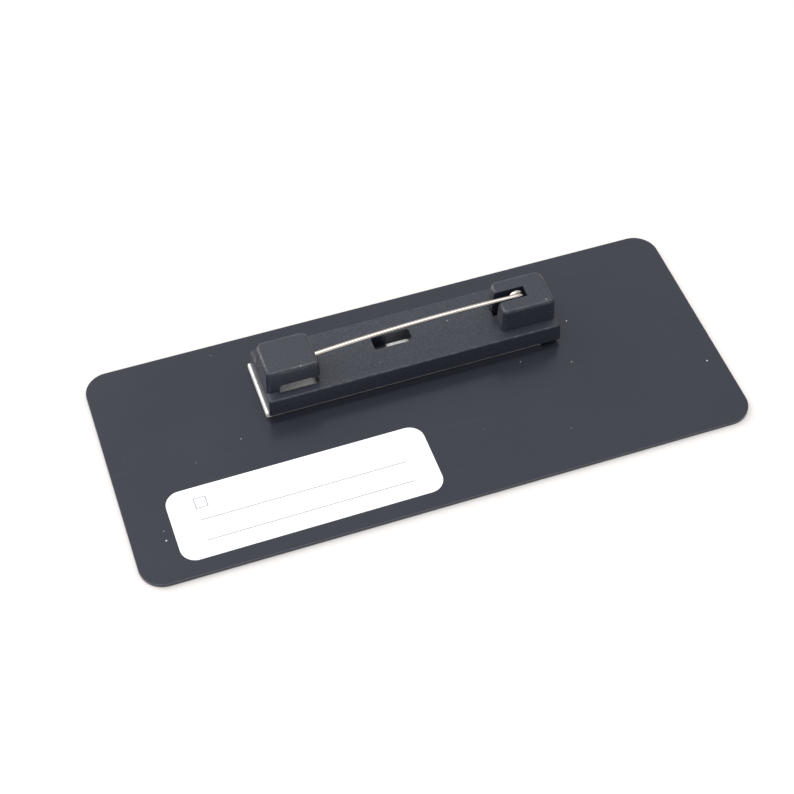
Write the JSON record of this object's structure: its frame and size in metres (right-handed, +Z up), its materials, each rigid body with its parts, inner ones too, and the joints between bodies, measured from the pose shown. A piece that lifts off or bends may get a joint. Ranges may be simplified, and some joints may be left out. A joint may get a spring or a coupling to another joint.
{
  "type": "name badge",
  "caption": "Flat black rectangular name badge lying face down, with an adhesive foam-backed pin bar, a bowed steel pin held in a catch and a small white sticker on its back.",
  "frame": {"origin": "centre of the plate's face, which lies on the surface below", "axes": "+X along the plate's long side, from the catch towards the coil; +Y towards the badge's top edge, where the pin bar sits; +Z up, out of the badge's back"},
  "size_m": [0.076, 0.032, 0.0073],
  "materials": {
    "plate_plastic": "satin black sheet with a very fine grain",
    "bar_plastic": "moulded black plastic, satin, with lighter worn edges",
    "foam": "off-white closed-cell foam tape, dull",
    "pin_steel": "bright nickel-plated spring steel",
    "label_film": "smooth white coated sticker with thin ruled lines"
  },
  "bodies": {
    "badge": {"badge_plate": "plate_plastic", "foam_pad": "foam", "pin_base": "bar_plastic", "back_label": "label_film"},
    "pin": {"pin_wire": "pin_steel"}
  },
  "joints": [
    {"name": "pin_press", "type": "hinge", "parent": "badge", "child": "pin", "pos_m": [0.01525, 0.0066, 0.00609], "axis": [0, -1, 0], "range_deg": [0, 3.5], "stiffness_Nm_per_rad": 0.05}
  ]
}
